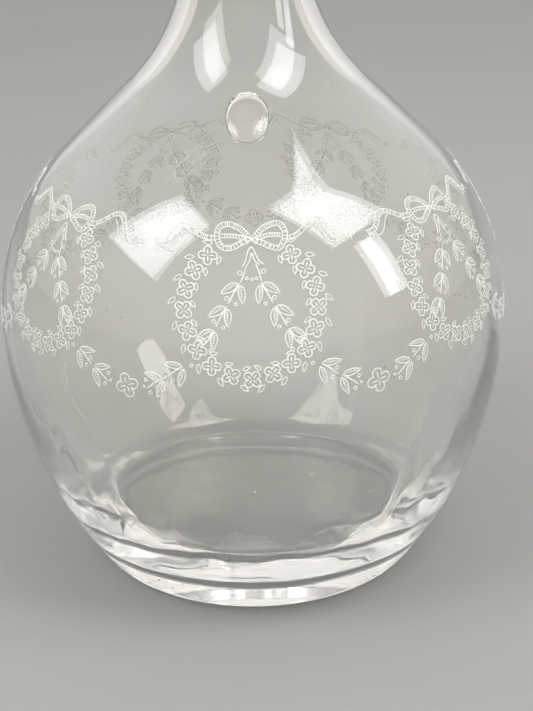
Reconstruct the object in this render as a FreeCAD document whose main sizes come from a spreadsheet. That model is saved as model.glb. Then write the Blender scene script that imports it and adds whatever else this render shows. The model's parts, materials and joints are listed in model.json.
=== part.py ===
"""A glass wine decanter with a ground-in stopper: two separate pieces of glass, in millimetres.

Frame: +Z up, with the origin at the centre of the resting face, so the foot stands on z = 0.
decanter_body is one blown vessel: a heavy base with a shallow polished kick, a globe, a sloping shoulder,
a straight neck and a flanged lip, with a tapered socket ground into its mouth.
stopper is solid: a ground tapered peg, a collar, a waist and a ball.
Every outline is a sketch in the XZ plane, radius along x and height along y, turned once round Z.
"""

import FreeCAD, Part
import math
import os
import re

import Sketcher

SHEET = "Dimensions"
# The driving dimensions, in millimetres and degrees. The sketches read them from the spreadsheet.
DIMENSIONS = {
    "body_radius": 65.0,
    "equator_height": 66.0,
    "side_arc": 111.6,
    "shoulder_arc": 60.0,
    "shoulder_angle": 47.0,
    "flare_arc": 40.0,
    "neck_radius": 16.0,
    "kick_radius": 34.0,
    "kick_height": 1.0,
    "base_corner": 4.5,
    "lip_radius": 22.0,
    "lip_thickness": 4.0,
    "lip_round": 1.8,
    "mouth_height": 222.0,
    "mouth_round": 1.0,
    "inner_radius": 62.2,
    "inner_side_arc": 86.0,
    "inner_shoulder_arc": 57.2,
    "inner_flare_arc": 46.0,
    "floor_height": 8.6,
    "floor_corner": 8.0,
    "bore_radius": 11.0,
    "socket_depth": 34.0,
    "socket_taper": 2.8,
    "peg_gap": 0.06,
    "peg_depth": 30.0,
    "peg_rise": 2.5,
    "peg_corner": 1.0,
    "collar_radius": 14.5,
    "collar_height": 4.0,
    "collar_round": 1.6,
    "waist_radius": 7.5,
    "waist_arc": 5.0,
    "ball_radius": 19.0,
}
FULL_TURN = 360.0
LENGTH_TOLERANCE = 1e-4

START, END, CENTRE = 1, 2, 3
ORIGIN = (-1, 1)
X_AXIS, Z_AXIS = -1, -2


def make_sheet(doc):
    """The spreadsheet of driving dimensions, one alias to a row."""
    sheet = doc.addObject("Spreadsheet::Sheet", SHEET)
    for row, (alias, value) in enumerate(DIMENSIONS.items(), start=1):
        sheet.set(f"A{row}", alias)
        sheet.set(f"B{row}", str(value))
        sheet.setAlias(f"B{row}", alias)
    doc.recompute()
    return sheet


def cells(formula):
    """A formula as an expression: each alias in it becomes a reference to its spreadsheet cell."""
    return re.sub("[a-z_]+", lambda word: f"{SHEET}.{word[0]}" if word[0] in DIMENSIONS else word[0], formula)


class Outline:
    """A closed outline of lines and arcs in a body's XZ plane. Each edge starts where the last one ended."""

    def __init__(self, body, name):
        self.sketch = body.newObject("Sketcher::SketchObject", name)
        self.sketch.AttachmentSupport = [(origin_feature(body, "XZ_Plane"), "")]
        self.sketch.MapMode = "FlatFace"
        self.ends = []

    def line(self, start, end):
        """A straight edge. Returns its index."""
        points = [FreeCAD.Vector(x, y, 0) for x, y in (start, end)]
        self.ends.append((START, END))
        return self.sketch.addGeometry(Part.LineSegment(*points), False)

    def arc(self, centre, start, end, hollow=False):
        """An arc that bulges outwards, or inwards if hollow: then the sketch stores it from end to start."""
        first, last = (end, start) if hollow else (start, end)
        angles = [math.atan2(y - centre[1], x - centre[0]) for x, y in (first, last)]
        if angles[1] < angles[0]:
            angles[1] += 2 * math.pi
        circle = Part.Circle(FreeCAD.Vector(*centre, 0), FreeCAD.Vector(0, 0, 1), math.dist(centre, start))
        self.ends.append((END, START) if hollow else (START, END))
        return self.sketch.addGeometry(Part.ArcOfCircle(circle, *angles), False)

    def first(self, edge):
        return edge, self.ends[edge][0]

    def last(self, edge):
        return edge, self.ends[edge][1]

    def rule(self, kind, *where):
        """A constraint with no size."""
        self.sketch.addConstraint(Sketcher.Constraint(kind, *where))

    def smooth(self, edge, following):
        """One edge runs into the next without a corner."""
        self.rule("Tangent", *self.last(edge), *self.first(following))

    def corner(self, edge, following):
        """One edge meets the next at a corner."""
        self.rule("Coincident", *self.last(edge), *self.first(following))

    def bind(self, kind, formula, *where):
        """A constraint whose size the spreadsheet drives. Its first value is what is already drawn."""
        index = self.sketch.addConstraint(Sketcher.Constraint(kind, *where, self.drawn(kind, *where)))
        unit = "deg" if kind == "Angle" else "mm"
        self.sketch.setExpression(f"Constraints[{index}]", f"({cells(formula)}) * 1 {unit}")

    def drawn(self, kind, *where):
        """The size that an edge or a pair of points has as drawn."""
        edge = self.sketch.Geometry[where[0]] if where[0] >= 0 else None
        if kind == "Radius":
            return edge.Radius
        if kind == "Angle":
            run = edge.EndPoint - edge.StartPoint
            return math.atan2(run.y, run.x)
        step = self.sketch.getPoint(*where[2:]) - self.sketch.getPoint(*where[:2])
        return step.x if kind == "DistanceX" else step.y

    def place(self, point, radius=None, height=None):
        """Fixes a point's distance from the axis, its height, or both."""
        if radius:
            self.bind("DistanceX", radius, *ORIGIN, *point)
        if height:
            self.bind("DistanceY", height, *ORIGIN, *point)

    def close_on_axis(self, top_edge, bottom_edge, top, bottom):
        """The last edge, straight down the axis from the top edge's end to the bottom edge's start."""
        self.rule("PointOnObject", *self.last(top_edge), Z_AXIS)
        axis = self.line((0, top), (0, bottom))
        self.corner(top_edge, axis)
        self.rule("Coincident", *self.last(axis), *self.first(bottom_edge))


def origin_feature(body, role):
    """One of a body's own origin planes or axes, such as XZ_Plane or Z_Axis."""
    return next(feature for feature in body.Origin.OriginFeatures if feature.Role == role)


def make_body(doc, label):
    body = doc.addObject("PartDesign::Body", label)
    body.Label = label
    return body


def turn(body, outline, kind, name):
    """Turns an outline once round Z: kind is Revolution, which adds, or Groove, which cuts."""
    feature = body.newObject(f"PartDesign::{kind}", name)
    feature.Profile = outline.sketch
    feature.ReferenceAxis = (origin_feature(body, "Z_Axis"), [""])
    feature.Angle = FULL_TURN
    body.Document.recompute()
    return feature


def round_edges(body, base, name, radius, circles):
    """Fillets the circular edges of a feature that have the given radii and heights."""
    found = []
    for index, edge in enumerate(base.Shape.Edges, start=1):
        if edge.Degenerated or not isinstance(edge.Curve, Part.Circle):
            continue
        size = (edge.Curve.Radius, edge.Curve.Center.z)
        flat = abs(abs(edge.Curve.Axis.z) - 1) < LENGTH_TOLERANCE
        if flat and any(math.dist(size, circle) < LENGTH_TOLERANCE for circle in circles):
            found.append(f"Edge{index}")
    if len(found) != len(circles):
        raise RuntimeError(f"{name}: {len(circles)} edges wanted, {len(found)} found")
    fillet = body.newObject("PartDesign::Fillet", name)
    fillet.Base = (base, found)
    fillet.setExpression("Radius", cells(radius))
    body.Document.recompute()
    return fillet


def globe(sheet, outline, start, width, side, shoulder, flare, neck, top):
    """The globe's side, shoulder and slope, the flare and the neck, as five edges that run smoothly on.

    start is where the side begins, top is the neck's upper end, and the rest are aliases of the sheet.
    Returns the side edge and the neck edge.
    """
    equator = sheet.equator_height
    wide, side_arc, shoulder_arc, flare_arc, neck_radius = (
        sheet.get(alias) for alias in (width, side, shoulder, flare, neck)
    )
    slope = math.radians(sheet.shoulder_angle)
    normal = (math.cos(slope), math.sin(slope))
    shoulder_centre = (wide - shoulder_arc, equator)
    shoulder_end = tuple(c + shoulder_arc * n for c, n in zip(shoulder_centre, normal))
    flare_x = neck_radius + flare_arc
    flare_z = shoulder_end[1] + (flare_arc - normal[0] * (flare_x - shoulder_end[0])) / normal[1]
    flare_start = (flare_x - flare_arc * normal[0], flare_z - flare_arc * normal[1])

    lower = outline.arc((wide - side_arc, equator), start, (wide, equator))
    upper = outline.arc(shoulder_centre, (wide, equator), shoulder_end)
    incline = outline.line(shoulder_end, flare_start)
    bend = outline.arc((flare_x, flare_z), flare_start, (neck_radius, flare_z), hollow=True)
    shaft = outline.line((neck_radius, flare_z), (neck_radius, top))

    for edge, following in ((lower, upper), (upper, incline), (incline, bend), (bend, shaft)):
        outline.smooth(edge, following)
    outline.rule("Vertical", shaft)
    for edge, radius in ((lower, side), (upper, shoulder), (bend, flare)):
        outline.bind("Radius", radius, edge)
    for edge in (lower, upper):
        outline.place((edge, CENTRE), height="equator_height")
    outline.place(outline.last(lower), radius=width)
    outline.bind("Angle", "90 + shoulder_angle", incline)
    outline.place(outline.first(shaft), radius=neck)
    return lower, shaft


def foot_radius(sheet):
    """Where the outer side arc would meet the resting plane."""
    drop = math.sqrt(sheet.side_arc ** 2 - sheet.equator_height ** 2)
    return sheet.body_radius - sheet.side_arc + drop


def draw_vessel(sheet, body):
    """The vessel's outside, from the kick round the globe, the neck and the lip to the axis."""
    outline = Outline(body, "vessel_outline")
    kick = (0, (sheet.kick_height ** 2 - sheet.kick_radius ** 2) / (2 * sheet.kick_height))
    edge_of_kick = (sheet.kick_radius, 0)
    foot = (foot_radius(sheet), 0)
    under_lip = sheet.mouth_height - sheet.lip_thickness
    overhang = sheet.lip_radius - sheet.neck_radius

    dome = outline.arc(kick, (0, sheet.kick_height), edge_of_kick, hollow=True)
    ring = outline.line(edge_of_kick, foot)
    side, neck = globe(
        sheet, outline, foot, "body_radius", "side_arc", "shoulder_arc", "flare_arc", "neck_radius",
        under_lip - overhang,
    )
    lip = outline.arc(
        (sheet.lip_radius, under_lip - overhang),
        (sheet.neck_radius, under_lip - overhang),
        (sheet.lip_radius, under_lip),
        hollow=True,
    )
    rim = outline.line((sheet.lip_radius, under_lip), (sheet.lip_radius, sheet.mouth_height))
    top = outline.line((sheet.lip_radius, sheet.mouth_height), (0, sheet.mouth_height))

    outline.rule("PointOnObject", dome, CENTRE, Z_AXIS)
    outline.rule("PointOnObject", *outline.first(dome), Z_AXIS)
    outline.place(outline.first(dome), height="kick_height")
    outline.rule("PointOnObject", *outline.last(dome), X_AXIS)
    outline.place(outline.last(dome), radius="kick_radius")
    outline.corner(dome, ring)
    outline.corner(ring, side)
    outline.rule("PointOnObject", *outline.last(ring), X_AXIS)
    outline.smooth(neck, lip)
    outline.rule("Vertical", lip, CENTRE, *outline.last(lip))
    outline.corner(lip, rim)
    outline.rule("Vertical", rim)
    outline.corner(rim, top)
    outline.rule("Horizontal", top)
    outline.place(outline.last(rim), radius="lip_radius", height="mouth_height")
    outline.bind("DistanceY", "lip_thickness", *outline.first(rim), *outline.last(rim))
    outline.close_on_axis(top, dome, sheet.mouth_height, sheet.kick_height)
    return outline


def socket_radius(sheet, height):
    """The radius of the socket's tapered wall at a height, carried on past both of its ends."""
    rise = height - (sheet.mouth_height - sheet.socket_depth)
    return sheet.bore_radius + rise * math.tan(math.radians(sheet.socket_taper))


def draw_hollow(sheet, body):
    """The space inside: flat floor, globe, bore and tapered socket. Also returns the mouth's radius."""
    outline = Outline(body, "hollow_outline")
    floor, corner = sheet.floor_height, sheet.floor_corner
    side_centre = (sheet.inner_radius - sheet.inner_side_arc, sheet.equator_height)
    reach = sheet.inner_side_arc - corner
    rise = sheet.equator_height - floor - corner
    corner_x = side_centre[0] + math.sqrt(reach ** 2 - rise ** 2)
    share = sheet.inner_side_arc / reach
    side_start = (side_centre[0] + share * (corner_x - side_centre[0]), side_centre[1] - share * rise)
    socket_floor = sheet.mouth_height - sheet.socket_depth
    mouth = socket_radius(sheet, sheet.mouth_height)

    bottom = outline.line((0, floor), (corner_x, floor))
    turn_up = outline.arc((corner_x, floor + corner), (corner_x, floor), side_start)
    side, bore = globe(
        sheet, outline, side_start, "inner_radius", "inner_side_arc", "inner_shoulder_arc",
        "inner_flare_arc", "bore_radius", socket_floor,
    )
    socket = outline.line((sheet.bore_radius, socket_floor), (mouth, sheet.mouth_height))
    top = outline.line((mouth, sheet.mouth_height), (0, sheet.mouth_height))

    outline.rule("PointOnObject", *outline.first(bottom), Z_AXIS)
    outline.rule("Horizontal", bottom)
    outline.place(outline.first(bottom), height="floor_height")
    outline.smooth(bottom, turn_up)
    outline.smooth(turn_up, side)
    outline.bind("Radius", "floor_corner", turn_up)
    outline.corner(bore, socket)
    outline.bind("Angle", "90 - socket_taper", socket)
    outline.place(outline.first(socket), height="mouth_height - socket_depth")
    outline.corner(socket, top)
    outline.rule("Horizontal", top)
    outline.place(outline.last(socket), height="mouth_height")
    outline.close_on_axis(top, bottom, sheet.mouth_height, floor)
    return outline, mouth


def make_decanter(doc, sheet):
    """The vessel: its outside turned, its hollow cut out, and the foot, rim and mouth fire-polished round."""
    body = make_body(doc, "decanter_body")
    solid = turn(body, draw_vessel(sheet, body), "Revolution", "vessel")
    hollow_outline, mouth = draw_hollow(sheet, body)
    blown = turn(body, hollow_outline, "Groove", "hollow")
    if blown.Shape.Volume > solid.Shape.Volume / 2:
        raise RuntimeError("the hollow isn't cut")
    foot = round_edges(body, blown, "foot_round", "base_corner", [(foot_radius(sheet), 0)])
    under_lip = sheet.mouth_height - sheet.lip_thickness
    rims = [(sheet.lip_radius, sheet.mouth_height), (sheet.lip_radius, under_lip)]
    rim = round_edges(body, foot, "rim_round", "lip_round", rims)
    round_edges(body, rim, "mouth_round_off", "mouth_round", [(mouth, sheet.mouth_height)])
    return body


def peg_radius(sheet, height):
    """The radius of the stopper's ground peg at a height: the socket's, less the running gap."""
    return socket_radius(sheet, height) - sheet.peg_gap


def draw_stopper(sheet, body):
    """The stopper's outline: tip, ground peg, ledge, collar, waist and ball."""
    outline = Outline(body, "stopper_outline")
    tip = sheet.mouth_height - sheet.peg_depth
    ledge = sheet.mouth_height + sheet.peg_rise
    shelf = ledge + sheet.collar_height
    tip_radius = peg_radius(sheet, tip)
    ledge_radius = peg_radius(sheet, ledge)
    waist = (sheet.waist_radius + sheet.waist_arc, shelf + sheet.waist_arc)
    reach = sheet.waist_arc + sheet.ball_radius
    ball = (0, waist[1] + math.sqrt(reach ** 2 - waist[0] ** 2))
    share = sheet.ball_radius / reach
    touch = (share * waist[0], ball[1] - share * (ball[1] - waist[1]))

    base = outline.line((0, tip), (tip_radius, tip))
    peg = outline.line((tip_radius, tip), (ledge_radius, ledge))
    under = outline.line((ledge_radius, ledge), (sheet.collar_radius, ledge))
    collar = outline.line((sheet.collar_radius, ledge), (sheet.collar_radius, shelf))
    over = outline.line((sheet.collar_radius, shelf), (waist[0], shelf))
    neck = outline.arc(waist, (waist[0], shelf), touch, hollow=True)
    globe_arc = outline.arc(ball, touch, (0, ball[1] + sheet.ball_radius))

    outline.rule("PointOnObject", *outline.first(base), Z_AXIS)
    for edge in (base, under, over):
        outline.rule("Horizontal", edge)
    outline.place(outline.first(base), height="mouth_height - peg_depth")
    for edge, following in ((base, peg), (peg, under), (under, collar), (collar, over)):
        outline.corner(edge, following)
    outline.bind("Angle", "90 - socket_taper", peg)
    tip_formula = "bore_radius - peg_gap + (socket_depth - peg_depth) * tan(socket_taper * 1 deg)"
    outline.place(outline.first(peg), radius=tip_formula)
    outline.place(outline.last(peg), height="mouth_height + peg_rise")
    outline.rule("Vertical", collar)
    outline.place(outline.first(collar), radius="collar_radius")
    outline.bind("DistanceY", "collar_height", *outline.first(collar), *outline.last(collar))
    outline.smooth(over, neck)
    outline.smooth(neck, globe_arc)
    outline.bind("Radius", "waist_arc", neck)
    outline.place((neck, CENTRE), radius="waist_radius + waist_arc")
    outline.bind("Radius", "ball_radius", globe_arc)
    outline.rule("PointOnObject", globe_arc, CENTRE, Z_AXIS)
    outline.close_on_axis(globe_arc, base, ball[1] + sheet.ball_radius, tip)
    return outline


def make_stopper(doc, sheet):
    """The stopper: its outline turned, then the peg's tip and the collar's edges ground round."""
    body = make_body(doc, "stopper")
    solid = turn(body, draw_stopper(sheet, body), "Revolution", "stopper_solid")
    ledge = sheet.mouth_height + sheet.peg_rise
    tip = sheet.mouth_height - sheet.peg_depth
    collar = [(sheet.collar_radius, ledge), (sheet.collar_radius, ledge + sheet.collar_height)]
    rounded = round_edges(body, solid, "collar_rounds", "collar_round", collar)
    round_edges(body, rounded, "peg_tip", "peg_corner", [(peg_radius(sheet, tip), tip)])
    return body


def check(doc, bodies):
    """Stops if any object failed to build, or a piece isn't one valid solid."""
    failed = [item.Name for item in doc.Objects if {"Invalid", "Error"} & set(item.State)]
    if failed:
        raise RuntimeError(f"failed objects: {failed}")
    for body in bodies:
        shape = body.Shape
        if shape.isNull() or not shape.isValid() or len(shape.Solids) != 1:
            raise RuntimeError(f"{body.Label} isn't one valid solid")
    for sketch in doc.findObjects("Sketcher::SketchObject"):
        if sketch.solve() != 0:
            raise RuntimeError(f"{sketch.Name} doesn't solve")


def export(bodies):
    """Writes one STEP file for each piece, named after its node."""
    os.makedirs("parts", exist_ok=True)
    for body in bodies:
        body.Shape.exportStep(f"parts/{body.Label}.step")
        print(f"{body.Label}: {body.Shape.Volume / 1000:.1f} cm3, {body.Shape.BoundBox}")


def main():
    doc = FreeCAD.newDocument("wine_decanter")
    sheet = make_sheet(doc)
    bodies = [make_decanter(doc, sheet), make_stopper(doc, sheet)]
    doc.recompute()
    check(doc, bodies)
    export(bodies)


main()
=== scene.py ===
"""The looks of a blown glass wine decanter with a ground-in stopper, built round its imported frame.

Blender units are metres. Profiles are worked out in millimetres, as (radius, height) pairs, and turned into
metres when a mesh is made. +Z is up, the foot stands on z = 0 and the frieze's first bow faces -Y.
"""
import json
import math
import random

import bpy
from mathutils import Matrix, Vector, noise

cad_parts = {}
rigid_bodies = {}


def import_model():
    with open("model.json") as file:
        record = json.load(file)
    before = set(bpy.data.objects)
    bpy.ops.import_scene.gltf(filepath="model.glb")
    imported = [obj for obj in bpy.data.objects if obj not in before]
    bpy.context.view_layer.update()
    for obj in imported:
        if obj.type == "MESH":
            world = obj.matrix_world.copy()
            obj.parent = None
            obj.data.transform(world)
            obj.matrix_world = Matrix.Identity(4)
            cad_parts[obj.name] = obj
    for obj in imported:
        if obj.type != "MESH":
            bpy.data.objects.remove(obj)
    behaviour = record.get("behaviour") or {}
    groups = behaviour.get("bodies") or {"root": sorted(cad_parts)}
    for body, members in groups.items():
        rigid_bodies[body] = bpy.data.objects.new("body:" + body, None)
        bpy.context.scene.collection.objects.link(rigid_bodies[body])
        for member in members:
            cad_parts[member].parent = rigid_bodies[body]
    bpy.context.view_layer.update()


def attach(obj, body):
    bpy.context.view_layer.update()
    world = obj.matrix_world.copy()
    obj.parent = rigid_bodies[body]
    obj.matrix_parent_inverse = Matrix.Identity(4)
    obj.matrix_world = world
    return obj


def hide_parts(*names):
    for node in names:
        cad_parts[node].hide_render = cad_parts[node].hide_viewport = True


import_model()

MM = 0.001
TURN = 2 * math.pi
QUARTER = math.pi / 2

# Vessel, outside (mm)
BODY_RADIUS = 65.0
EQUATOR = 66.0
SIDE_ARC = 111.6
SHOULDER_ARC = 60.0
SLOPE = math.radians(47.0)
FLARE_ARC = 40.0
NECK_RADIUS = 16.0
KICK_RADIUS = 34.0
KICK_HEIGHT = 1.0
BASE_CORNER = 4.5
LIP_RADIUS = 22.0
LIP_THICKNESS = 4.0
LIP_ROUND = 1.8
MOUTH_HEIGHT = 222.0
MOUTH_ROUND = 1.0
# Vessel, inside (mm)
INNER_RADIUS = 62.2
INNER_SIDE_ARC = 86.0
INNER_SHOULDER_ARC = 57.2
INNER_FLARE_ARC = 46.0
FLOOR_HEIGHT = 8.6
FLOOR_CORNER = 8.0
BORE_RADIUS = 11.0
SOCKET_DEPTH = 34.0
SOCKET_TAPER = math.radians(2.8)
# Stopper (mm)
PEG_GAP = 0.06
PEG_DEPTH = 30.0
PEG_RISE = 2.5
PEG_CORNER = 1.0
COLLAR_RADIUS = 14.5
COLLAR_HEIGHT = 4.0
COLLAR_ROUND = 1.6
WAIST_RADIUS = 7.5
WAIST_ARC = 5.0
BALL_RADIUS = 19.0

# How far the hot glass strayed from the turned shape (mm)
OUTSIDE_WAVE = 0.16
OUTSIDE_WAVE_LENGTH = 34.0
INSIDE_WAVE = 0.45
INSIDE_WAVE_LENGTH = 26.0
INSIDE_STRETCH = 0.45
FLOOR_WAVE = 0.2
FLOOR_WAVE_LENGTH = 18.0
STREAK_WAVE = 0.24
STREAK_WIDTH = 5.0
STREAK_LENGTH = 60.0
STREAK_TOP = 56.0
WAVE_ORIGIN = Vector((7.3, 1.9, 4.1))
FREEHAND_TOP = 187.0
FREEHAND_FADE = 25.0

# Seeds in the glass (mm). The wall's are smaller and drawn out upwards, and lie halfway through it.
SEED = 11
SEED_RADII = (0.1, 0.34)
BASE_SEEDS = 30
BASE_SEED_REACH = 34.0
BASE_SEED_HEIGHTS = (3.5, FLOOR_HEIGHT - 2)
WALL_SEEDS = 120
WALL_SEED_SHARE = 0.8
WALL_SEED_STRETCH = 1.3
WALL_SEED_LOWEST = -math.radians(28)
# The flat air blister in the front of the wall, where the slope turns into the neck, and the specks above it:
# its azimuth, radius and height, then its half-axes across, up along and through the wall
BLISTER_PLACE = (math.radians(-0.5), 30.2, 122.7)
BLISTER_HALVES = (5.0, 6.9, 0.75)
BLISTER_RINGS = 14
BLISTER_SEGMENTS = 36
SPECKS = 14
SPECK_RADII = (0.1, 0.28)
SPECK_SPREAD = (2.6, 1.8)
SPECK_MIDDLE = (2.6, 7.2)

# Engraved lines (mm)
REPEATS = 7
LINE = 0.36
FINE_LINE = 0.26
BOLD_LINE = LINE * 1.15
STEM_LINE = LINE * 1.2
LEAF_LINE = LINE * 0.9
RIBBON_LINE = FINE_LINE * 1.1
LINE_RISE = 0.06
LINE_GAP = 0.004

# The frieze (mm along the skin). Heights are above the globe's widest line, and the bow's, the tails' and the
# tassel's points are measured from the wreath's middle.
FIRST_BOW = math.radians(-0.5)
WREATH_HEIGHT = 22.6
WREATH_RADIUS = 15.1
WREATH_WANDER = 0.25
FLOWERS = 17
FLOWER_STEP = math.radians(17.8)
FLOWER_SIZE = 4.3
FLOWER_TWIST = math.radians(14)
# A petal's radius and its distance from the flower's middle, as shares of the flower's size. Half the angle
# of its curl (degrees). The points of one arm of the cross: (share of the size, lean).
PETAL_RADIUS = 0.2
PETAL_REACH = 0.29
PETAL_CURL = (128, 150)
PETAL_STEPS = 7
CROSS_ARM = ((0.04, 0), (0.18, 0.05), (0.34, 0))
# The wreath's small leaves: how far each starts from the flowers' ring, and its length. Their lean (degrees)
OUTER_LEAF = (1.7, 2.3)
INNER_LEAF = (-1.8, 1.9)
SMALL_LEAF_LEAN = (42, 60)
SMALL_LEAF_BELLY = 0.2
LEAF_STEPS = 8
MIDRIB = (0.04, 0.45, 0.86)
VEIN_REACH = 0.92
VEIN_SLANT = 0.35
RUNG_STEP = 0.62
BOW_BANDS = (
    ([(-0.1, 16.0), (-1.9, 18.0), (-4.3, 19.1), (-6.2, 18.7), (-7.0, 17.3), (-7.0, 15.6), (-6.3, 14.1),
      (-5.2, 13.6), (-3.6, 13.8), (-2.0, 14.7), (-0.3, 15.4)], 1.1),
    ([(0.9, 15.8), (2.9, 18.0), (5.3, 19.1), (6.8, 18.8), (7.7, 17.3), (7.7, 15.4), (6.9, 13.8), (6.1, 13.4),
      (4.6, 13.8), (2.9, 14.7), (1.2, 15.3)], 1.1),
    ([(-6.3, 16.4), (-3.5, 16.4), (-0.7, 15.8)], 0.8),
    ([(1.6, 15.7), (4.4, 16.5), (7.0, 16.3)], 0.8),
    ([(-7.6, 15.9), (-9.8, 16.1), (-11.8, 17.2), (-13.6, 18.3), (-15.2, 18.4), (-16.5, 17.3), (-17.8, 15.8),
      (-19.2, 14.7), (-21.3, 14.3)], 1.0),
    ([(8.3, 15.4), (10.3, 16.1), (12.3, 17.7), (13.8, 18.9), (15.3, 19.2), (16.6, 18.4), (17.7, 16.9),
      (18.9, 15.3), (20.3, 14.6), (22.3, 14.7)], 1.0),
)
TAIL_FOLDS = (
    [(-13.3, 17.4), (-14.4, 16.9), (-15.6, 15.5), (-16.9, 14.0), (-18.3, 13.3), (-19.9, 13.4), (-21.2, 13.9)],
    [(14.6, 18.1), (16.0, 16.5), (17.4, 14.4), (18.8, 13.6), (20.5, 13.7), (21.9, 13.1)],
    [(22.1, 15.4), (22.9, 14.4), (23.4, 13.3)],
)
KNOT_STROKES = (
    [(-0.7, 16.4), (0.3, 15.6), (1.6, 14.5)],
    [(-0.8, 14.9), (0.4, 15.5), (1.5, 16.2)],
    [(-0.2, 16.2), (0.5, 15.9), (0.9, 15.2)],
)
TASSEL_STROKES = (
    [(-1.8, 9.4), (-1.1, 10.4), (-0.7, 11.8), (-0.2, 13.3), (0.35, 13.8), (0.9, 13.2), (1.5, 11.8),
     (2.1, 10.6), (3.1, 9.9)],
    [(0.3, 12.6), (0.0, 10.9), (-0.9, 9.4)],
    [(0.6, 12.6), (1.0, 10.9), (2.1, 9.8)],
    [(-0.8, 9.4), (-1.5, 7.4), (-2.2, 5.9)],
    [(1.2, 10.2), (2.0, 8.2), (2.5, 6.0)],
)
TASSEL_BEADS = ((-2.2, 8.1, 0.48), (2.9, 8.4, 0.48), (-0.7, 6.9, 0.3), (0.35, 6.7, 0.3), (1.4, 6.9, 0.3))
# The right-hand spray inside the wreath: its first pair of leaves and the step to the next. Then, from a
# pair's base, the leaves' tips and bellies, the stem's points and the berries. The inner leaf's tip moves out
# by SPRAY_INNER_STEP at each pair.
SPRAY_PAIRS = 3
SPRAY_START = (2.3, 5.9)
SPRAY_STEP = (2.9, -5.1)
SPRAY_OUTER_TIP = (4.3, -2.4)
SPRAY_INNER_TIP = (-0.65, -4.7)
SPRAY_INNER_STEP = 0.55
SPRAY_OUTER_BELLY = 0.85
SPRAY_INNER_BELLY = 0.75
SPRAY_STEM = ((1.5, -2.5), (2.7, -4.7))
SPRAY_STEM_END = (2.7, -3.6)
SPRAY_BERRIES = ((2.9, -3.3, 0.42), (0.9, -4.6, 0.34))
# A pair of garland leaves: its base, then its upper and its lower leaf from there
SWAG_PAIRS = (
    ((15.4, 9.8), (4.9, 0.3), (1.1, -5.0)),
    ((20.2, 6.6), (4.6, 0.8), (1.6, -4.9)),
)
SWAG_BELLIES = (0.72, 0.75)
SWAG_STEM = ((2.1, -1.4), (4.0, -2.9))
SWAG_BERRIES = (
    (13.4, 10.2, 0.36), (19.0, 8.5, 0.42), (17.9, 6.4, 0.42), (24.2, 5.8, 0.38), (23.3, 3.0, 0.42),
    (24.8, 4.2, 0.26),
)
SWAG_FLOWER_HEIGHT = 3.8
SWAG_FLOWER_SHARE = 1.35
SWAG_FLOWER_TURN = math.radians(8)

# Stage, camera and lights (m and W, the lights' rotations in degrees)
FLOOR_SIZE = 60.0
FLOOR_GAP = 0.00008
LENS = 70.9
SENSOR = 36.0
CAMERA_PLACE = (0.0, -0.3427, 0.1998)
CAMERA_PITCH = math.radians(23.48)
CAMERA_YAW = math.radians(0.54)
CAMERA_ROLL = math.radians(-1.22)
# The studio's walls and ceiling: their strength at the horizon and overhead, and the height of a unit
# direction at which they reach the latter
WORLD_STRENGTHS = (0.62, 1.0)
WORLD_FULL = 0.45
LIGHT_BOUNCES = 48
HAZE_BOUNCES = 12
# A soft box's glow, as a share of its even strength: at its middle and at its corners
GLOW = (1.25, 0.6)
# name, place, rotation, size, power, share that reaches matt surfaces, whether glass mirrors it
LIGHTS = (
    ("soft_box_left", (-0.536, -0.334, 0.848), (-57.3, 72.8, 152.4), (0.72, 0.44), 5.5, 0.3, True),
    ("soft_box_right", (0.419, -0.247, 0.945), (-86.6, 18.2, -139.5), (0.5, 0.8), 7.5, 0.3, True),
    ("strip_right", (1.04, -0.43, 0.62), (65.0, 0.0, 69.5), (0.23, 0.54), 2.8, 0.3, True),
    ("front_fill", (0.0, -1.29, 0.25), (82.0, 0.0, 0.0), (0.9, 0.3), 10.0, 1.0, False),
)

TURN_STEPS = 216
ARC_STEP = 1.1
MIN_ARC_STEPS = 6


# ---------------------------------------------------------------- profiles

def arc(centre, radius, start, end):
    """Points of an arc, from one angle to the other, both ends included."""
    steps = max(MIN_ARC_STEPS, round(abs(end - start) * radius / ARC_STEP))
    angles = [start + (end - start) * i / steps for i in range(steps + 1)]
    return [(centre[0] + radius * math.cos(a), centre[1] + radius * math.sin(a)) for a in angles]


def run(start, end, step=3.0):
    """Points of a straight stretch without its ends, which its neighbours hold."""
    steps = max(1, round(math.dist(start, end) / step))
    return [tuple(s + (e - s) * i / steps for s, e in zip(start, end)) for i in range(1, steps)]


def globe(wide, side_arc, shoulder_arc, flare_arc, neck, lowest):
    """The globe from the side's lowest angle up to the neck: side, shoulder, slope and hollow flare."""
    side = arc((wide - side_arc, EQUATOR), side_arc, lowest, 0.0)
    shoulder = arc((wide - shoulder_arc, EQUATOR), shoulder_arc, 0.0, SLOPE)
    top = shoulder[-1]
    flare_x = neck + flare_arc
    flare_z = top[1] + (flare_arc - math.cos(SLOPE) * (flare_x - top[0])) / math.sin(SLOPE)
    flare = arc((flare_x, flare_z), flare_arc, math.pi + SLOPE, math.pi)
    return side + shoulder[1:] + run(top, flare[0]) + flare


def foot_profile():
    """Kick, resting ring and foot corner. Returns the points and the side arc's angle above the corner."""
    dome = (KICK_RADIUS ** 2 + KICK_HEIGHT ** 2) / (2 * KICK_HEIGHT)
    kick = arc((0.0, KICK_HEIGHT - dome), dome, QUARTER, math.acos(KICK_RADIUS / dome))
    reach = SIDE_ARC - BASE_CORNER
    lowest = -math.asin((EQUATOR - BASE_CORNER) / reach)
    centre = (BODY_RADIUS - SIDE_ARC + reach * math.cos(lowest), BASE_CORNER)
    corner = arc(centre, BASE_CORNER, -QUARTER, lowest)
    return kick + run(kick[-1], corner[0], 1.5) + corner, lowest


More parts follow.
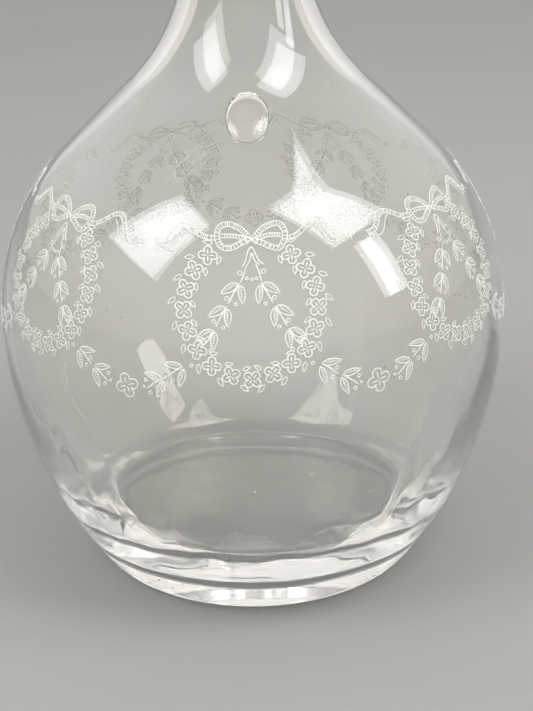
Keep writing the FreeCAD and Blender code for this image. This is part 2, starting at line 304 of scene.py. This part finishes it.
def lip_profile():
    """The hollow curve under the lip, the rounded rim and the rounded edge of the mouth."""
    overhang = LIP_RADIUS - NECK_RADIUS
    under = MOUTH_HEIGHT - LIP_THICKNESS
    mouth = socket_radius(MOUTH_HEIGHT)
    rim_x = LIP_RADIUS - LIP_ROUND
    rise = math.sqrt((overhang + LIP_ROUND) ** 2 - LIP_ROUND ** 2)
    meet = math.atan2(rise, -LIP_ROUND)
    curve = arc((LIP_RADIUS, under - overhang), overhang, math.pi, meet)
    rim = arc((rim_x, under - overhang + rise), LIP_ROUND, meet - math.pi, 0.0)[1:]
    rim += arc((rim_x, MOUTH_HEIGHT - LIP_ROUND), LIP_ROUND, 0.0, QUARTER)
    edge = arc((mouth + MOUTH_ROUND, MOUTH_HEIGHT - MOUTH_ROUND), MOUTH_ROUND, QUARTER, math.pi)
    return curve + rim + edge


def socket_radius(height):
    """The radius of the ground socket's wall."""
    return BORE_RADIUS + (height - MOUTH_HEIGHT + SOCKET_DEPTH) * math.tan(SOCKET_TAPER)


def inside_profile():
    """The hollow, from its floor's middle up to the bottom of the socket."""
    reach = INNER_SIDE_ARC - FLOOR_CORNER
    lowest = -math.asin((EQUATOR - FLOOR_HEIGHT - FLOOR_CORNER) / reach)
    centre = (INNER_RADIUS - INNER_SIDE_ARC + reach * math.cos(lowest), FLOOR_HEIGHT + FLOOR_CORNER)
    corner = arc(centre, FLOOR_CORNER, -QUARTER, lowest)
    middle = (0.0, FLOOR_HEIGHT)
    wall = globe(INNER_RADIUS, INNER_SIDE_ARC, INNER_SHOULDER_ARC, INNER_FLARE_ARC, BORE_RADIUS, lowest)
    socket_floor = (BORE_RADIUS, MOUTH_HEIGHT - SOCKET_DEPTH)
    floor = [middle] + run(middle, corner[0])
    return floor + corner + wall[1:] + run(wall[-1], socket_floor) + [socket_floor]


def vessel_profile():
    """The vessel's section: up its outside, over the lip and down its inside. Also the socket's rows."""
    foot, lowest = foot_profile()
    outside = globe(BODY_RADIUS, SIDE_ARC, SHOULDER_ARC, FLARE_ARC, NECK_RADIUS, lowest)
    lip = lip_profile()
    inside = inside_profile()[::-1]
    outer = foot + outside[1:] + run(outside[-1], lip[0]) + lip
    socket = run(lip[-1], inside[0], 1.5)
    return outer + socket + inside, (len(outer) - 1, len(outer) + len(socket))


def stopper_profile():
    """The stopper's section from the peg's tip to the ball's top. Also the rows of the ground peg."""
    tip = MOUTH_HEIGHT - PEG_DEPTH
    ledge = MOUTH_HEIGHT + PEG_RISE
    shelf = ledge + COLLAR_HEIGHT
    tip_radius, ledge_radius = (socket_radius(z) - PEG_GAP for z in (tip, ledge))
    waist = (WAIST_RADIUS + WAIST_ARC, shelf + WAIST_ARC)
    reach = WAIST_ARC + BALL_RADIUS
    ball = (0.0, waist[1] + math.sqrt(reach ** 2 - waist[0] ** 2))
    touch = math.atan2(waist[1] - ball[1], waist[0])
    middle = (0.0, tip)
    chamfer = arc((tip_radius - PEG_CORNER, tip + PEG_CORNER), PEG_CORNER, -QUARTER, -SOCKET_TAPER)
    end = (ledge_radius, ledge)
    peg = run(chamfer[-1], end, 1.5)
    collar_x = COLLAR_RADIUS - COLLAR_ROUND
    collar = arc((collar_x, ledge + COLLAR_ROUND), COLLAR_ROUND, -QUARTER, 0.0)
    collar += arc((collar_x, shelf - COLLAR_ROUND), COLLAR_ROUND, 0.0, QUARTER)
    neck = arc(waist, WAIST_ARC, 3 * QUARTER, math.pi + touch)
    top = arc(ball, BALL_RADIUS, touch, QUARTER)
    points = [middle] + run(middle, chamfer[0]) + chamfer + peg + [end] + collar + neck + top[1:]
    first = 1 + len(run(middle, chamfer[0])) + len(chamfer)
    return points, (first, first + len(peg))


# ---------------------------------------------------------------- meshes

def at(azimuth, radius, height):
    """A point in millimetres. Azimuth 0 faces -Y and grows towards +X."""
    return Vector((radius * math.sin(azimuth), -radius * math.cos(azimuth), height))


def freehand(height):
    """1 where the glass was shaped freehand, fading to 0 towards the tooled lip and the ground socket."""
    return min(1.0, max(0.0, (FREEHAND_TOP - height) / FREEHAND_FADE))


def moved(point, outwards, upwards=0.0):
    """A point moved away from the axis and up."""
    radius = math.hypot(point.x, point.y)
    share = 1 + outwards / radius if radius > 1 else 1
    return Vector((point.x * share, point.y * share, point.z + upwards))


def blown(point):
    """The outside skin as blown: drawn in towards the axis by up to OUTSIDE_WAVE, in slow waves."""
    wave = 0.5 + 0.5 * noise.noise(point / OUTSIDE_WAVE_LENGTH + WAVE_ORIGIN)
    return moved(point, -OUTSIDE_WAVE * wave * freehand(point.z))


def rippled(point):
    """The inside skin, which no mould touched: waves in and out that stretch along the blow."""
    stretched = Vector((point.x, point.y, point.z * INSIDE_STRETCH)) / INSIDE_WAVE_LENGTH
    spread = min(1.0, math.hypot(point.x, point.y) / INNER_RADIUS) ** 2
    shift = INSIDE_WAVE * spread * noise.noise(stretched - WAVE_ORIGIN) * freehand(point.z)
    low = min(1.0, max(0.0, (STREAK_TOP - point.z) / (STREAK_TOP - EQUATOR / 2)))
    streak = noise.noise(Vector((point.x / STREAK_WIDTH, point.y / STREAK_WIDTH, point.z / STREAK_LENGTH)))
    shift += STREAK_WAVE * spread * low * streak
    near_floor = max(0.0, 1 - (point.z - FLOOR_HEIGHT) / FLOOR_CORNER)
    return moved(point, shift, FLOOR_WAVE * near_floor * noise.noise(point / FLOOR_WAVE_LENGTH))


def new_object(name, verts, faces, body, materials, rows=()):
    """A smooth-shaded object from millimetre points. It rides on a body and is bound to a material slot."""
    mesh = bpy.data.meshes.new(name)
    mesh.from_pydata([tuple(v * MM) for v in verts], [], faces)
    mesh.validate()
    mesh.shade_smooth()
    for material in materials:
        mesh.materials.append(material)
    piece = bpy.data.objects.new(name, mesh)
    bpy.context.scene.collection.objects.link(piece)
    for face in rows:
        mesh.polygons[face].material_index = 1
    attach(piece, body)
    return piece


def lathe(profile, shape=lambda point, row: point):
    """Turns a section whose two ends lie on the axis. shape moves each point. Returns points and faces."""
    inner = profile[1:-1]
    verts = [shape(at(0, *profile[0]), 0)]
    for row, (radius, height) in enumerate(inner, start=1):
        verts += [shape(at(TURN * i / TURN_STEPS, radius, height), row) for i in range(TURN_STEPS)]
    verts.append(shape(at(0, *profile[-1]), len(profile) - 1))
    faces = []
    for i in range(TURN_STEPS):
        j = (i + 1) % TURN_STEPS
        faces.append((0, 1 + j, 1 + i))
        for row in range(len(inner) - 1):
            low, high = 1 + row * TURN_STEPS, 1 + (row + 1) * TURN_STEPS
            faces.append((low + i, low + j, high + j, high + i))
        last = 1 + (len(inner) - 1) * TURN_STEPS
        faces.append((last + i, last + j, len(verts) - 1))
    return verts, faces


def faces_between(profile, rows):
    """The indices of a lathe's faces that lie between two rows of its section."""
    per_step = len(profile) - 1
    return [i * per_step + row for i in range(TURN_STEPS) for row in range(rows[0], rows[1])]


def bubble(centre, axes, verts, faces, rings=5, segments=10):
    """Adds a closed ellipsoid, its faces turned inwards because the air is inside. axes are its half-axes."""
    first = len(verts)
    verts.append(centre - axes[2])
    for ring in range(1, rings):
        tilt = math.pi * ring / rings
        for i in range(segments):
            spin = TURN * i / segments
            across = (axes[0] * math.cos(spin) + axes[1] * math.sin(spin)) * math.sin(tilt)
            verts.append(centre + across - axes[2] * math.cos(tilt))
    verts.append(centre + axes[2])
    top = len(verts) - 1
    for i in range(segments):
        j = (i + 1) % segments
        faces.append((first, first + 1 + i, first + 1 + j))
        for ring in range(rings - 2):
            low = first + 1 + ring * segments
            faces.append((low + i, low + segments + i, low + segments + j, low + j))
        faces.append((top - segments + i, top, top - segments + j))


def upright(across, up):
    """The half-axes of a bubble of revolution that stands upright."""
    return Vector((across, 0, 0)), Vector((0, across, 0)), Vector((0, 0, up))


def blister(verts, faces):
    """One large flat bubble in the wall at the foot of the neck, with a spray of specks above it."""
    rng = random.Random(SEED)
    azimuth, radius, height = BLISTER_PLACE
    across = at(azimuth + QUARTER, 1, 0)
    along = at(azimuth, -math.sin(SLOPE), math.cos(SLOPE))
    out = at(azimuth, math.cos(SLOPE), math.sin(SLOPE))
    halves = [axis * half for axis, half in zip((across, along, out), BLISTER_HALVES)]
    middle = at(azimuth, radius, height)
    bubble(middle, halves, verts, faces, BLISTER_RINGS, BLISTER_SEGMENTS)
    for _ in range(SPECKS):
        x, y = (rng.gauss(centre, spread / 2) for centre, spread in zip(SPECK_MIDDLE, SPECK_SPREAD))
        size = rng.uniform(*SPECK_RADII)
        bubble(middle + across * x + along * y, upright(size, size), verts, faces)


def seeds(verts, faces):
    """Fine bubbles left in the metal: some in the thick base, the rest in the wall."""
    rng = random.Random(SEED)
    for _ in range(BASE_SEEDS):
        radius = rng.uniform(*SEED_RADII)
        azimuth = rng.uniform(0, TURN)
        reach = BASE_SEED_REACH * math.sqrt(rng.random())
        centre = at(azimuth, reach, rng.uniform(*BASE_SEED_HEIGHTS))
        bubble(centre, upright(radius, radius), verts, faces)
    for _ in range(WALL_SEEDS):
        radius = rng.uniform(*SEED_RADII) * WALL_SEED_SHARE
        angle = rng.uniform(WALL_SEED_LOWEST, SLOPE)
        skin_arc = SIDE_ARC if angle < 0 else SHOULDER_ARC
        depth = (BODY_RADIUS - INNER_RADIUS) * 0.5
        reach = (skin_arc - depth) * math.cos(angle) + BODY_RADIUS - skin_arc
        centre = at(rng.uniform(0, TURN), reach, EQUATOR + (skin_arc - depth) * math.sin(angle))
        bubble(centre, upright(radius, radius * WALL_SEED_STRETCH), verts, faces)


def make_vessel(glass, ground):
    """The decanter's glass: a turned shell with blown waves, its ground socket and its seeds."""
    profile, socket = vessel_profile()

    def shape(point, row):
        return blown(point) if row <= socket[0] else rippled(point)

    verts, faces = lathe(profile, shape)
    ground_rows = faces_between(profile, socket)
    blister(verts, faces)
    seeds(verts, faces)
    looks = (glass, ground)
    piece = new_object("decanter_glass", verts, faces, "decanter", looks, ground_rows)
    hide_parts("decanter_body")


def make_stopper(glass, ground):
    """The stopper: solid glass with a ground peg."""
    profile, peg = stopper_profile()
    verts, faces = lathe(profile)
    ground_rows = faces_between(profile, peg)
    looks = (glass, ground)
    piece = new_object("stopper_glass_ball", verts, faces, "stopper_body", looks, ground_rows)
    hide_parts("stopper")


# ---------------------------------------------------------------- the engraved frieze

class Engraving:
    """Strokes on the vessel's skin, gathered into one mesh.

    A stroke is a row of (x, y) points in millimetres: x along the skin from the motif's middle meridian,
    y up along the skin from the globe's widest line.
    """

    def __init__(self, azimuth, rng):
        self.azimuth = azimuth
        self.rng = rng
        self.verts = []
        self.faces = []

    def skin(self, x, y):
        """The place and outward direction of the skin's point (x, y)."""
        skin_arc = SIDE_ARC if y < 0 else SHOULDER_ARC
        tilt = y / skin_arc
        radius = BODY_RADIUS - skin_arc + skin_arc * math.cos(tilt)
        azimuth = self.azimuth + x / radius
        out = at(azimuth, math.cos(tilt), math.sin(tilt))
        return blown(at(azimuth, radius, EQUATOR + skin_arc * math.sin(tilt))), out

    def stroke(self, points, width, taper=0.45, closed=False):
        """One engraved line: a low ridge of bruised glass on the skin. Its ends narrow to taper."""
        count = len(points)
        placed = [self.skin(*point) for point in points]
        first = len(self.verts)
        for i, (centre, out) in enumerate(placed):
            before = placed[i - 1 if i or closed else 0][0]
            after = placed[(i + 1) % count if i + 1 < count or closed else i][0]
            side = out.cross(after - before).normalized()
            end = not closed and i in (0, count - 1)
            half = width / 2 * (taper if end else 1)
            foot = centre + out * LINE_GAP
            self.verts += [foot - side * half, foot + out * LINE_RISE, foot + side * half]
        spans = range(count if closed else count - 1)
        for a, b in [(first + 3 * i, first + 3 * ((i + 1) % count)) for i in spans]:
            self.faces += [(a + k, b + k, b + (k + 1) % 3, a + (k + 1) % 3) for k in range(3)]
        if not closed:
            last = first + 3 * (count - 1)
            self.faces += [(first, first + 1, first + 2), (last + 2, last + 1, last)]

    def finish(self, name, material):
        """Makes the mesh object. The lines are worked into the vessel, so they ride on its body."""
        new_object(name, self.verts, self.faces, "decanter", (material,))


def polar(centre, radius, angle):
    return (centre[0] + radius * math.cos(angle), centre[1] + radius * math.sin(angle))


def between(start, end, share):
    return tuple(s + (e - s) * share for s, e in zip(start, end))


def shifted(point, dx, dy):
    return (point[0] + dx, point[1] + dy)


def catmull_rom(p, q, r, s, t):
    """The value between q and r, at the share t, of the curve through p, q, r and s."""
    square = (2 * p - 5 * q + 4 * r - s) * t ** 2
    cube = (3 * q - p - 3 * r + s) * t ** 3
    return 0.5 * (2 * q + (r - p) * t + square + cube)


def smooth(points, per_span=5):
    """A Catmull-Rom curve through given points."""
    padded = [points[0]] + list(points) + [points[-1]]
    line = []
    for i in range(1, len(points)):
        a, b, c, d = padded[i - 1:i + 3]
        for step in range(per_span):
            t = step / per_span
            line.append(tuple(catmull_rom(*values, t) for values in zip(a, b, c, d)))
    return line + [points[-1]]


def beside(line, distance):
    """A line drawn alongside another, to its left by a distance."""
    out = []
    for i, point in enumerate(line):
        before, after = line[max(i - 1, 0)], line[min(i + 1, len(line) - 1)]
        run_x, run_y = after[0] - before[0], after[1] - before[1]
        length = math.hypot(run_x, run_y)
        out.append(shifted(point, -run_y / length * distance, run_x / length * distance))
    return out


def ring(engraving, centre, radius, width=FINE_LINE, steps=10):
    """A small circle: a berry."""
    points = [polar(centre, radius, TURN * i / steps) for i in range(steps)]
    engraving.stroke(points, width, closed=True)


def flower(engraving, centre, across, turned):
    """A quatrefoil: four round petals, each a curl open towards the middle, with a bold cross inside."""
    rng = engraving.rng
    turned += rng.uniform(-FLOWER_TWIST, FLOWER_TWIST)
    radius = across * PETAL_RADIUS
    for k in range(4):
        direction = turned + k * QUARTER
        middle = polar(centre, across * PETAL_REACH, direction)
        curl = math.radians(rng.uniform(*PETAL_CURL))
        turns = [curl * i / PETAL_STEPS for i in range(-PETAL_STEPS, PETAL_STEPS + 1)]
        engraving.stroke([polar(middle, radius, direction + turn) for turn in turns], LINE)
        arm = [polar(centre, across * reach, direction + lean) for reach, lean in CROSS_ARM]
        engraving.stroke(arm, BOLD_LINE)


def leaf_edge(base, tip, belly):
    """One side of a pointed leaf, bulging to the left of base to tip by belly at its widest."""
    shares = [i / LEAF_STEPS for i in range(LEAF_STEPS + 1)]
    length = math.dist(base, tip)
    side = (-(tip[1] - base[1]) / length, (tip[0] - base[0]) / length)
    bulges = [belly * math.sin(math.pi * share ** 0.8) for share in shares]
    return [shifted(between(base, tip, share), side[0] * bulge, side[1] * bulge)
            for share, bulge in zip(shares, bulges)]


def small_leaf(engraving, base, angle, length):
    """A little pointed leaf, outlined."""
    tip = polar(base, length, angle)
    belly = length * SMALL_LEAF_BELLY
    outline = leaf_edge(base, tip, belly) + leaf_edge(base, tip, -belly)[-2:0:-1]
    engraving.stroke(outline, FINE_LINE, closed=True)


def leaf(engraving, base, tip, belly, veined):
    """A pointed leaf: outline, midrib, and fine veins across the half on the veined side, 1 or -1."""
    for side in (1, -1):
        engraving.stroke(leaf_edge(base, tip, side * belly), LEAF_LINE)
    engraving.stroke([between(base, tip, share) for share in MIDRIB], FINE_LINE)
    edge = leaf_edge(base, tip, veined * belly * VEIN_REACH)
    for k in range(1, LEAF_STEPS):
        root = between(base, tip, (k - VEIN_SLANT) / LEAF_STEPS)
        engraving.stroke([root, edge[k]], FINE_LINE, taper=0.7)


def ribbon(engraving, points, width):
    """A band of ribbon: two edges with fine rungs between them."""
    line = smooth(points)
    edges = [beside(line, side * width / 2) for side in (1, -1)]
    for edge in edges:
        engraving.stroke(edge, RIBBON_LINE, taper=0.8)
    travelled = 0.0
    for i in range(1, len(line)):
        travelled += math.dist(line[i - 1], line[i])
        if travelled >= RUNG_STEP:
            travelled -= RUNG_STEP
            engraving.stroke([edges[0][i], edges[1][i]], FINE_LINE, taper=1.0)


def side_points(points, side):
    """Points given for the right-hand side, mirrored for the left if side is -1."""
    return [(side * x, y) for x, y in points]


def wreath(engraving):
    """A ring of quatrefoils, open at the bow, with a small leaf outside and inside each gap."""
    middle = (0.0, WREATH_HEIGHT)
    half = (FLOWERS - 1) // 2
    for k in range(-half, half + 1):
        angle = -QUARTER + k * FLOWER_STEP
        wander = engraving.rng.uniform(-WREATH_WANDER, WREATH_WANDER)
        flower(engraving, polar(middle, WREATH_RADIUS + wander, angle), FLOWER_SIZE, angle + QUARTER / 2)
    for side in (1, -1):
        for k in range(half + 1):
            angle = -QUARTER + side * (k + 0.5) * FLOWER_STEP
            lean = side * math.radians(engraving.rng.uniform(*SMALL_LEAF_LEAN))
            directions = (angle - lean, angle + math.pi + lean)
            for (start, length), direction in zip((OUTER_LEAF, INNER_LEAF), directions):
                small_leaf(engraving, polar(middle, WREATH_RADIUS + start, angle), direction, length)


def bow(engraving):
    """Two ribbon loops and their bands through the knot, and a tail that waves out on each side."""
    lift = WREATH_HEIGHT
    for points, width in BOW_BANDS:
        ribbon(engraving, [shifted(p, 0, lift) for p in points], width)
    for points in TAIL_FOLDS:
        engraving.stroke([shifted(p, 0, lift) for p in smooth(points)], FINE_LINE)
    for points in KNOT_STROKES:
        engraving.stroke([shifted(p, 0, lift) for p in smooth(points)], LINE)


def tassel(engraving):
    """A bell flower hung under the knot, with curls, three beads and the stems of the two sprays."""
    for points in TASSEL_STROKES:
        engraving.stroke([shifted(p, 0, WREATH_HEIGHT) for p in smooth(points)], LEAF_LINE)
    for x, y, radius in TASSEL_BEADS:
        ring(engraving, (x, y + WREATH_HEIGHT), radius)


def sprays(engraving):
    """Two sprays that hang apart inside the wreath: three pairs of veined leaves on each, with berries."""
    for side in (1, -1):
        for k in range(SPRAY_PAIRS):
            from_middle, above = (first + step * k for first, step in zip(SPRAY_START, SPRAY_STEP))
            base = (side * from_middle, WREATH_HEIGHT + above)
            inner_x = SPRAY_INNER_STEP * k + SPRAY_INNER_TIP[0]
            outer = shifted(base, side * SPRAY_OUTER_TIP[0], SPRAY_OUTER_TIP[1])
            inner = shifted(base, side * inner_x, SPRAY_INNER_TIP[1])
            leaf(engraving, shifted(base, side * 0.35, 0), outer, SPRAY_OUTER_BELLY, side)
            leaf(engraving, shifted(base, -side * 0.2, -0.4), inner, SPRAY_INNER_BELLY, side)
            bend, end = SPRAY_STEM if k < SPRAY_PAIRS - 1 else (SPRAY_STEM[0], SPRAY_STEM_END)
            stem = [base] + [shifted(base, side * x, y) for x, y in (bend, end)]
            engraving.stroke(smooth(stem, 3), STEM_LINE)
            for x, y, radius in SPRAY_BERRIES:
                ring(engraving, shifted(base, side * x, y), radius)


def swag(engraving):
    """Half of the garland to the next wreath on each side, and the larger quatrefoil midway to the right."""
    period = TURN / REPEATS
    for side in (1, -1):
        for base, upper, lower in SWAG_PAIRS:
            pairs = ([base, shifted(base, *upper)], [shifted(base, -0.3, -0.5), shifted(base, *lower)])
            for ends, belly in zip(pairs, SWAG_BELLIES):
                leaf(engraving, *side_points(ends, side), belly, side)
            stem = [base] + [shifted(base, *step) for step in SWAG_STEM]
            engraving.stroke(smooth(side_points(stem, side), 3), STEM_LINE)
        for x, y, radius in SWAG_BERRIES:
            ring(engraving, (side * x, y), radius)
    radius = BODY_RADIUS - SHOULDER_ARC + SHOULDER_ARC * math.cos(SWAG_FLOWER_HEIGHT / SHOULDER_ARC)
    place = (radius * period / 2, SWAG_FLOWER_HEIGHT)
    flower(engraving, place, FLOWER_SIZE * SWAG_FLOWER_SHARE, SWAG_FLOWER_TURN)


def make_frieze(material):
    """The frieze: the same motif seven times round the globe, each cut a little differently by hand."""
    for i in range(REPEATS):
        engraving = Engraving(FIRST_BOW + TURN * i / REPEATS, random.Random(SEED + 1 + i))
        for part in (wreath, bow, tassel, sprays, swag):
            part(engraving)
        engraving.finish(f"frieze_{i + 1}", material)


# ---------------------------------------------------------------- materials

class Nodes:
    """A material's node tree, with short calls for what these materials need."""

    def __init__(self, name):
        self.material = bpy.data.materials.new(name)
        self.material.use_nodes = True
        self.tree = self.material.node_tree
        self.shader = self.tree.nodes["Principled BSDF"]
        self.place = self.tree.nodes.new("ShaderNodeTexCoord").outputs["Object"]

    def set(self, **sockets):
        """Constant values on the shader's own sockets. Underscores stand for spaces."""
        for name, value in sockets.items():
            self.shader.inputs[name.replace("_", " ")].default_value = value

    def noise(self, scale, detail=4.0, roughness=0.55):
        node = self.tree.nodes.new("ShaderNodeTexNoise")
        node.inputs["Scale"].default_value = scale
        node.inputs["Detail"].default_value = detail
        node.inputs["Roughness"].default_value = roughness
        self.tree.links.new(self.place, node.inputs["Vector"])
        return node.outputs["Fac"]

    def ramp(self, value, *stops):
        """Maps a value through two colour stops, each (position, colour)."""
        node = self.tree.nodes.new("ShaderNodeValToRGB")
        for stop, (position, colour) in zip(node.color_ramp.elements, stops):
            stop.position = position
            stop.color = (*colour, 1)
        self.tree.links.new(value, node.inputs["Fac"])
        return node.outputs["Color"]

    def spread(self, value, low, high, start=0.0, end=1.0):
        """Maps a value from start..end to low..high, and holds it there."""
        node = self.tree.nodes.new("ShaderNodeMapRange")
        for name, number in (("From Min", start), ("From Max", end), ("To Min", low), ("To Max", high)):
            node.inputs[name].default_value = number
        self.tree.links.new(value, node.inputs["Value"])
        return node.outputs["Result"]

    def bump(self, height, strength, distance):
        node = self.tree.nodes.new("ShaderNodeBump")
        node.inputs["Strength"].default_value = strength
        node.inputs["Distance"].default_value = distance
        self.tree.links.new(height, node.inputs["Height"])
        self.tree.links.new(node.outputs["Normal"], self.shader.inputs["Normal"])

    def feed(self, value, socket):
        self.tree.links.new(value, self.shader.inputs[socket])


def glass_material():
    """Clear blown glass: faintly creamy in patches that vary at random, with a trace of wipe marks in its
    gloss.
    """
    nodes = Nodes("clear_glass")
    nodes.set(IOR=1.52, Transmission_Weight=0.98)
    tint = nodes.ramp(nodes.noise(18), (0.35, (0.985, 0.98, 0.95)), (0.65, (1.0, 1.0, 0.98)))
    nodes.feed(tint, "Base Color")
    nodes.feed(nodes.spread(nodes.noise(70, 6), 0.0, 0.02, 0.5, 0.8), "Roughness")
    return nodes.material


def ground_material():
    """Fine-ground glass, as in the socket and on the peg: white, and blurred rather than clear."""
    nodes = Nodes("ground_glass")
    nodes.set(IOR=1.52, Transmission_Weight=0.8)
    tint = nodes.ramp(nodes.noise(900, 3), (0.3, (0.86, 0.87, 0.86)), (0.7, (0.95, 0.95, 0.94)))
    nodes.feed(tint, "Base Color")
    nodes.feed(nodes.spread(nodes.noise(500, 4), 0.38, 0.6), "Roughness")
    nodes.bump(nodes.noise(4000, 2), 0.25, 0.00005)
    return nodes.material


def engraved_material():
    """The bruised white of a cut line: a matt skin of tiny chips with a sparkle in it."""
    nodes = Nodes("engraved_glass")
    nodes.set(IOR=1.52, Transmission_Weight=0.35, Specular_IOR_Level=0.4)
    chips = nodes.ramp(nodes.noise(1500, 5, 0.7), (0.3, (0.8, 0.8, 0.77)), (0.62, (0.98, 0.98, 0.95)))
    nodes.feed(chips, "Base Color")
    nodes.feed(nodes.spread(nodes.noise(2500, 3), 0.45, 0.85), "Roughness")
    nodes.bump(nodes.noise(6000, 3, 0.7), 0.6, 0.00008)
    return nodes.material


def floor_material():
    nodes = Nodes("pale_floor")
    mottle = nodes.ramp(nodes.noise(3, 3), (0.3, (0.27, 0.27, 0.266)), (0.7, (0.29, 0.29, 0.286)))
    nodes.feed(mottle, "Base Color")
    nodes.set(Roughness=0.85, Specular_IOR_Level=0.2)
    return nodes.material


# ---------------------------------------------------------------- stage, lights and camera

def make_floor(material):
    """A plain pale floor out to the horizon. A hair of air keeps it off the glass, as under a real foot."""
    half = FLOOR_SIZE / 2
    corners = ((-half, -half), (half, -half), (half, half), (-half, half))
    mesh = bpy.data.meshes.new("floor")
    mesh.from_pydata([(x, y, -FLOOR_GAP) for x, y in corners], [], [(0, 1, 2, 3)])
    mesh.materials.append(material)
    floor = bpy.data.objects.new("floor", mesh)
    bpy.context.scene.collection.objects.link(floor)


def add_glow(lamp):
    """Makes a soft box brightest in its middle, as its cloth is, and dimmer towards its corners."""
    lamp.use_nodes = True
    nodes, links = lamp.node_tree.nodes, lamp.node_tree.links
    emission = nodes["Emission"]
    surface = nodes.new("ShaderNodeNewGeometry")
    from_middle = nodes.new("ShaderNodeVectorMath")
    from_middle.operation = "DISTANCE"
    from_middle.inputs[1].default_value = (0.5, 0.5, 0.0)
    links.new(surface.outputs["Parametric"], from_middle.inputs[0])
    share = nodes.new("ShaderNodeMapRange")
    share.inputs["From Max"].default_value = math.hypot(0.5, 0.5)
    share.inputs["To Min"].default_value, share.inputs["To Max"].default_value = GLOW
    links.new(from_middle.outputs["Value"], share.inputs["Value"])
    links.new(share.outputs["Result"], emission.inputs["Strength"])


def make_light(name, place, rotation, size, power, matt_share, mirrored, blockers):
    """A soft box. One that isn't mirrored lights matt surfaces only, and just the blockers stop its light."""
    lamp = bpy.data.lights.new(name, "AREA")
    lamp.shape = "RECTANGLE"
    lamp.size, lamp.size_y = size
    lamp.energy = power
    lamp.diffuse_factor = matt_share
    if mirrored:
        add_glow(lamp)
    light = bpy.data.objects.new(name, lamp)
    bpy.context.scene.collection.objects.link(light)
    light.location = place
    light.rotation_euler = [math.radians(angle) for angle in rotation]
    light.visible_glossy = mirrored
    light.visible_transmission = mirrored
    if not mirrored:
        light.light_linking.blocker_collection = blockers


def light_blockers():
    """All but the glass, which lets a lamp's light through to the engraving on the far side."""
    blockers = bpy.data.collections.new("light_blockers")
    for piece in bpy.context.scene.objects:
        if piece.name.startswith(("frieze", "floor")):
            blockers.objects.link(piece)
    return blockers


def make_world():
    """The studio around: dimmer at the horizon than overhead."""
    world = bpy.data.worlds.new("studio")
    world.use_nodes = True
    background = world.node_tree.nodes["Background"]
    background.inputs["Color"].default_value = (1.0, 0.985, 0.955, 1)
    tree = world.node_tree
    direction = tree.nodes.new("ShaderNodeTexCoord")
    axes = tree.nodes.new("ShaderNodeSeparateXYZ")
    rise = tree.nodes.new("ShaderNodeMapRange")
    rise.interpolation_type = "SMOOTHSTEP"
    rise.inputs["From Max"].default_value = WORLD_FULL
    rise.inputs["To Min"].default_value, rise.inputs["To Max"].default_value = WORLD_STRENGTHS
    tree.links.new(direction.outputs["Generated"], axes.inputs["Vector"])
    tree.links.new(axes.outputs["Z"], rise.inputs["Value"])
    tree.links.new(rise.outputs["Result"], background.inputs["Strength"])
    bpy.context.scene.world = world


def make_camera():
    """The view: a little above the shoulder, looking down on the globe, with the neck out of the frame."""
    lens = bpy.data.cameras.new("camera")
    lens.lens = LENS
    lens.sensor_width = SENSOR
    lens.clip_start = 0.01
    camera = bpy.data.objects.new("camera", lens)
    bpy.context.scene.collection.objects.link(camera)
    camera.location = CAMERA_PLACE
    camera.rotation_euler = (
        Matrix.Rotation(-CAMERA_YAW, 4, "Z")
        @ Matrix.Rotation(QUARTER - CAMERA_PITCH, 4, "X")
        @ Matrix.Rotation(CAMERA_ROLL, 4, "Z")
    ).to_euler()
    bpy.context.scene.camera = camera


def main():
    make_camera()
    glass, ground = glass_material(), ground_material()
    make_vessel(glass, ground)
    make_stopper(glass, ground)
    make_frieze(engraved_material())
    make_floor(floor_material())
    make_world()
    blockers = light_blockers()
    for light in LIGHTS:
        make_light(*light, blockers)
    cycles = bpy.context.scene.cycles
    cycles.max_bounces = LIGHT_BOUNCES
    cycles.transmission_bounces = LIGHT_BOUNCES
    cycles.glossy_bounces = LIGHT_BOUNCES
    cycles.diffuse_bounces = HAZE_BOUNCES
    bpy.context.scene.view_settings.view_transform = "Standard"


main()
